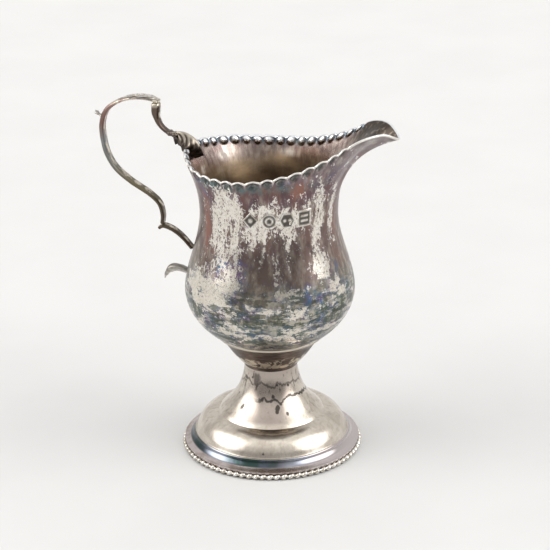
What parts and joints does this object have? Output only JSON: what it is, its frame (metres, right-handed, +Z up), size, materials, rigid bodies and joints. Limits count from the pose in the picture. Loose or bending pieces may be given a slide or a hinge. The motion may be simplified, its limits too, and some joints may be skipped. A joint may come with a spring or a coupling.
{
  "type": "cream jug",
  "caption": "Pear-shaped silver cream jug with a scalloped rim, a drawn-out pouring lip, a double-scroll handle and a domed pedestal foot.",
  "frame": {"origin": "on the plane that the foot stands on, at the middle of the overall length and width; the foot's own axis stands at x = +7.1 mm", "axes": "+Z up along the foot's axis, +X towards the pouring tip, -X towards the handle, Y across the jug"},
  "size_m": [0.092, 0.055, 0.1085],
  "materials": {
    "tarnished_silver": "old silver under a thin brown and plum tarnish, rubbed bright in patches",
    "foot_silver": "warm bright silver with a few dark drip stains and blue tarnish in the hollow",
    "darkened_silver": "dark brown tarnish with light flecks",
    "rubbed_silver": "soft silver, bright on the high points and dark in the grooves",
    "handle_silver": "grey-brown tarnished silver, rubbed pale along its outer edge"
  },
  "bodies": {
    "root": {"foot_bead_wire": "rubbed_silver", "foot_dome": "foot_silver", "stem": "foot_silver", "bowl_collar": "darkened_silver", "bowl": "tarnished_silver", "handle_rim_leaf": "darkened_silver", "handle_rim_arm": "handle_silver", "handle_main_scroll": "handle_silver", "handle_leaf_cap": "rubbed_silver", "handle_thumb_spur": "rubbed_silver", "handle_lower_scroll": "handle_silver", "handle_tail_curl": "rubbed_silver"}
  },
  "joints": []
}
